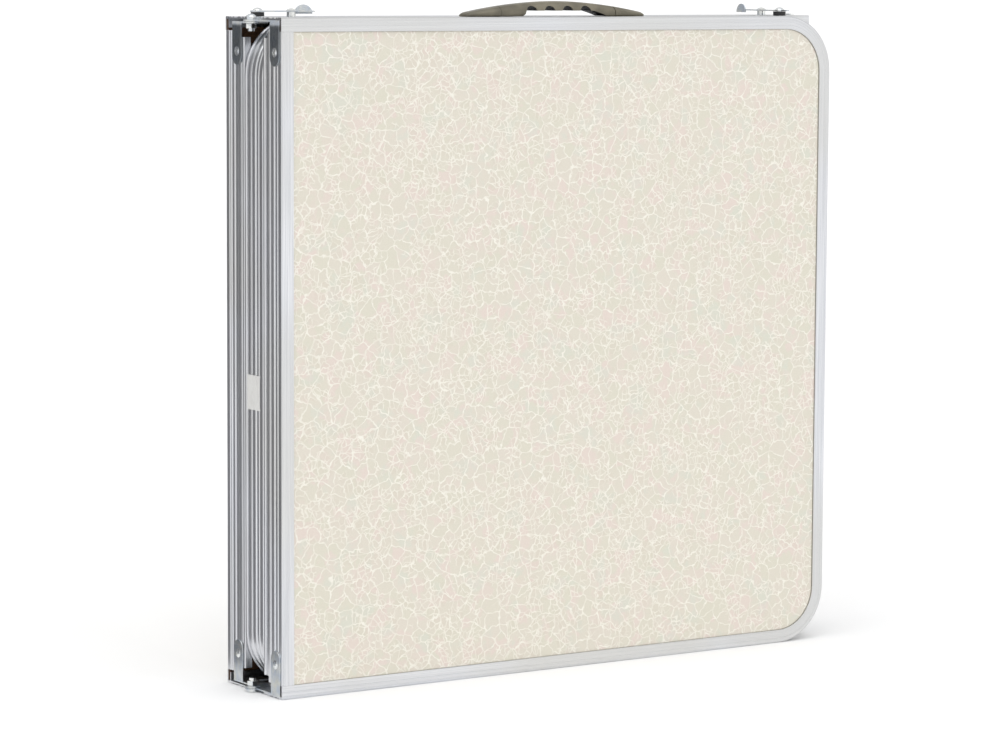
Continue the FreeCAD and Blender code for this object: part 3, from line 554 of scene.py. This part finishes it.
def finger_arch(x):
    """Height of the grip's underside: four scallops in an opening, with a long slope at its
    right."""
    if x < 0.0:
        ramp = (x - OPENING_LEFT) / LEFT_RAMP
    else:
        ramp = (OPENING_RIGHT - x) / RIGHT_RAMP
    ramp = max(0.0, min(1.0, ramp))
    height = SOLE + OPENING_RISE * ramp ** 0.8
    from_ridge = (x / SCALLOP_PITCH + 0.5) % 1.0 * SCALLOP_PITCH - SCALLOP_PITCH / 2.0
    from_centre = SCALLOP_PITCH / 2.0 - abs(from_ridge)
    if abs(x) < 2.0 * SCALLOP_PITCH and from_centre < SCALLOP_R:
        height = max(height, SCALLOP_BASE + math.sqrt(SCALLOP_R ** 2 - from_centre ** 2))
    return height


def handle_ring(x, low, high, half_width):
    """The handle's cross-section at x, cut off flat at low."""
    whole = [(half_width * y, high * z) for y, z in HANDLE_PROFILE]
    above = next(i for i, (_, z) in enumerate(whole) if z > low)
    (y0, z0), (y1, z1) = whole[above - 1], whole[above]
    corner_y = y0 + (y1 - y0) * (low - z0) / (z1 - z0)
    right = [(corner_y * i / (above - 1), low) for i in range(above)]
    right += [(y, max(z, low)) for y, z in whole[above:]]
    left = [(-y, z) for y, z in reversed(right[1:-1])]
    return [(HANDLE_X + x, HANDLE_Y + y, HANDLE_BASE + z) for y, z in right + left]


def cap_ring(side, share):
    """Cross-section of an end cap, from the grip at share 0 to its rounded nose at share 1."""
    x = CAP_START + (HANDLE_HALF - CAP_START) * share
    narrow = 1.0 - CAP_NARROWING * share ** 3
    nose = math.sqrt(1.0 - max(0.0, (share - NOSE_START) / (1.0 - NOSE_START)) ** 2)
    high = arch_top(x) * (NOSE_HEIGHT + (1.0 - NOSE_HEIGHT) * nose)
    half_width = HALF_WIDTH * narrow * (NOSE_WIDTH + (1.0 - NOSE_WIDTH) * nose)
    return handle_ring(side * x, 0.0, high, half_width)


def loft(name, rings, materials):
    """A closed skin through rings of points, all with the same count. A second material takes the
    underside, which is flat with the first point of every ring."""
    mesh = bmesh.new()
    rows = [[mesh.verts.new(point) for point in ring] for ring in rings]
    count = len(rows[0])
    for row, following in zip(rows, rows[1:]):
        for i in range(count):
            j = (i + 1) % count
            face = mesh.faces.new((row[i], row[j], following[j], following[i]))
            rises = [line[k].co.z - line[0].co.z for line in (row, following) for k in (i, j)]
            if len(materials) > 1 and max(rises) < FLAT_WITHIN:
                face.material_index = 1
    mesh.faces.new(rows[0])
    mesh.faces.new(list(reversed(rows[-1])))
    bmesh.ops.recalc_face_normals(mesh, faces=mesh.faces)
    piece = finished(name, mesh, materials[0])
    for material in materials[1:]:
        piece.data.materials.append(material)
    return piece


def build_handle():
    plastic = SHARED["grey_plastic"]
    stations = [GRIP_HALF * (-1.0 + 2.0 * i / GRIP_STEPS) for i in range(GRIP_STEPS + 1)]
    rings = [handle_ring(x, finger_arch(x), arch_top(x), GRIP_HALF_WIDTH) for x in stations]
    # The grip's underside takes the black nylon material as painted shade, standing for the dark
    # hollow inside the moulding that shows through the finger opening
    grip = loft("carry_grip_moulding", rings, (plastic, SHARED["black_nylon"]))
    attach(grip, "carry_grip")
    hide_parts("handle_grip")
    for side, name, node in ((-1, "handle_end_cap_left", "handle_left_cap"),
                             (1, "handle_end_cap_right", "handle_right_cap")):
        rings = [cap_ring(side, i / CAP_STEPS) for i in range(CAP_STEPS + 1)]
        cap = loft(name, rings, (plastic,))
        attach(cap, "front_section")
        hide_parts(node)


# Label over the beads of the inner section's rounded end. The beads are given by their start and
# end behind the rail's front face.

BEADS = ((6.8 * MM, 9.8 * MM), (12.8 * MM, 16.2 * MM), (20.4 * MM, 28.6 * MM))
BEAD_MARGIN = 0.8 * MM
LABEL_COLUMNS, LABEL_ROWS = 60, 24
LABEL_SAG = 0.22 * MM
LABEL_LIFT = 0.10 * MM
LABEL_CURL = 0.10 * MM
LABEL_OUTER, LABEL_INNER = 0.06 * MM, 0.04 * MM


def label_sag(depth):
    """How far the paper sinks between the beads, at a depth behind the rail's front face."""
    sag = LABEL_SAG
    for start, end in BEADS:
        reach = (end - start) / 2.0 + BEAD_MARGIN
        off_bead = abs(depth - (start + end) / 2.0) / reach
        if off_bead < 1.0:
            sag = min(sag, LABEL_SAG * off_bead ** 2)
    return sag


def build_label():
    low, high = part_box("blank_label")
    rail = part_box("inner_rim_rail")[0]
    mesh = bmesh.new()
    outer, inner = [], []
    for i in range(LABEL_COLUMNS + 1):
        y = low.y + (high.y - low.y) * i / LABEL_COLUMNS
        sag = label_sag(y - rail.y)
        line_out, line_in = [], []
        for j in range(LABEL_ROWS + 1):
            share = j / LABEL_ROWS
            z = low.z + (high.z - low.z) * share
            x = rail.x - LABEL_LIFT - LABEL_CURL * (2.0 * share - 1.0) ** 6 + sag
            line_out.append(mesh.verts.new((x - LABEL_OUTER, y, z)))
            line_in.append(mesh.verts.new((x + LABEL_INNER, y, z)))
        outer.append(line_out)
        inner.append(line_in)
    for i in range(LABEL_COLUMNS):
        for j in range(LABEL_ROWS):
            for face in (outer, inner):
                mesh.faces.new((face[i][j], face[i][j + 1], face[i + 1][j + 1], face[i + 1][j]))
        for j in (0, LABEL_ROWS):
            mesh.faces.new((outer[i][j], outer[i + 1][j], inner[i + 1][j], inner[i][j]))
    for j in range(LABEL_ROWS):
        for i in (0, LABEL_COLUMNS):
            mesh.faces.new((outer[i][j], inner[i][j], inner[i][j + 1], outer[i][j + 1]))
    bmesh.ops.recalc_face_normals(mesh, faces=mesh.faces)
    sticker = finished("blank_paper_label", mesh, SHARED["label_paper"], 60.0)
    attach(sticker, "case")
    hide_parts("blank_label")


# Studio

FLOOR_HALF = 30.0
CARD_PROFILE = ((0.12, 0.002), (0.5, 0.002), (1.1, 0.002), (1.25, 0.05), (1.3, 0.5), (1.3, 1.3))
CARD_START = -8.0
CARD_STEP = 4.0
CARD_LINES = 19
WALLS_SEEN = 1.1
WALLS_LIGHT = 0.82
SOFT_BOX_TOWARDS = (0.46, -0.88, 0.08)
SOFT_BOX_LIGHT = 0.35
SUN_TOWARDS = (0.25, 0.45, -1.0)
SUN_STRENGTH = 1.1
SUN_SPREAD = math.radians(70)


def build_floor():
    mesh = bmesh.new()
    bmesh.ops.create_grid(mesh, x_segments=8, y_segments=8, size=FLOOR_HALF)
    p = Paint("pale_floor", Roughness=0.8, Specular_IOR_Level=0.1)
    cloud = p.patches(1.5, 2.0, 0.3, 0.7)
    colour = p.mix(cloud, linear(250, 250, 250), linear(253, 253, 253))
    floor = finished("floor", mesh, p.paint(colour))


def build_card():
    """A grey card behind the hinge side that only reflections see, so that the ribs show light and
    dark. Its profile, a reach and a height, is swept round the case's left end."""
    mesh = bmesh.new()
    turns = [math.radians(CARD_START + CARD_STEP * i) for i in range(CARD_LINES)]
    rows = [[mesh.verts.new((-HALF_SIDE - reach * math.sin(a), reach * math.cos(a), height))
             for reach, height in CARD_PROFILE] for a in turns]
    for row, following in zip(rows, rows[1:]):
        for i in range(len(CARD_PROFILE) - 1):
            mesh.faces.new((row[i], row[i + 1], following[i + 1], following[i]))
    p = Paint("grey_card", Roughness=0.9, Specular_IOR_Level=0.0)
    colour = p.mix(p.noise(p.place, 3.0), linear(120, 121, 124), linear(128, 128, 130))
    card = finished("grey_card", mesh, p.paint(colour))
    card.visible_camera = False
    card.visible_diffuse = False
    card.visible_shadow = False


def build_light():
    """A white studio with one soft box in front of the table and a wide light from above."""
    world = bpy.data.worlds.new("studio")
    bpy.context.scene.world = world
    world.use_nodes = True
    p = Nodes(world.node_tree)
    background = world.node_tree.nodes["Background"]
    towards = p.vector("NORMALIZE", p.new("TexCoord").outputs["Generated"])
    facing_box = p.vector("DOT_PRODUCT", towards, SOFT_BOX_TOWARDS)
    soft_box = p.fade(facing_box, 0.90, 0.985, 0.0, SOFT_BOX_LIGHT)
    seen = p.new("LightPath").outputs["Is Camera Ray"]
    light = p.times(p.minus(1.0, seen), p.plus(soft_box, WALLS_LIGHT))
    p.link((1.0, 1.0, 1.0, 1.0), background.inputs["Color"])
    p.link(p.plus(p.times(seen, WALLS_SEEN), light), background.inputs["Strength"])
    sun = bpy.data.lights.new("overhead", "SUN")
    sun.energy = SUN_STRENGTH
    sun.angle = SUN_SPREAD
    lamp = bpy.data.objects.new("overhead", sun)
    lamp.rotation_mode = "QUATERNION"
    lamp.rotation_quaternion = Vector(SUN_TOWARDS).to_track_quat("-Z", "Y")
    bpy.context.scene.collection.objects.link(lamp)


# Camera

CAMERA_PLACE = (-1.9034, -2.8797, 0.6438)
CAMERA_YAW = math.radians(32.900)
CAMERA_PITCH = math.radians(-6.220)
CAMERA_ROLL = math.radians(-0.293)
CAMERA_LENS = 134.5
CAMERA_SENSOR = 36.0
CAMERA_CLIP = (0.1, 100.0)


def build_camera():
    """Yaw turns from the Y axis towards X, pitch is up from level, roll is about the view line."""
    level = math.cos(CAMERA_PITCH)
    ahead = Vector((level * math.sin(CAMERA_YAW), level * math.cos(CAMERA_YAW),
                    math.sin(CAMERA_PITCH)))
    right = Vector((math.cos(CAMERA_YAW), -math.sin(CAMERA_YAW), 0.0))
    up = right.cross(ahead)
    cosine, sine = math.cos(CAMERA_ROLL), math.sin(CAMERA_ROLL)
    rolled_right = right * cosine - up * sine
    rolled_up = right * sine + up * cosine
    data = bpy.data.cameras.new("camera")
    data.sensor_width = CAMERA_SENSOR
    data.lens = CAMERA_LENS
    data.clip_start, data.clip_end = CAMERA_CLIP
    camera = bpy.data.objects.new("camera", data)
    turn = Matrix((rolled_right, rolled_up, -ahead)).transposed().to_4x4()
    camera.matrix_world = Matrix.Translation(CAMERA_PLACE) @ turn
    bpy.context.scene.collection.objects.link(camera)
    bpy.context.scene.camera = camera


paint_nodes()
round_edges()
build_handle()
build_label()
build_floor()
build_card()
build_light()
build_camera()
bpy.context.scene.view_settings.view_transform = "Standard"
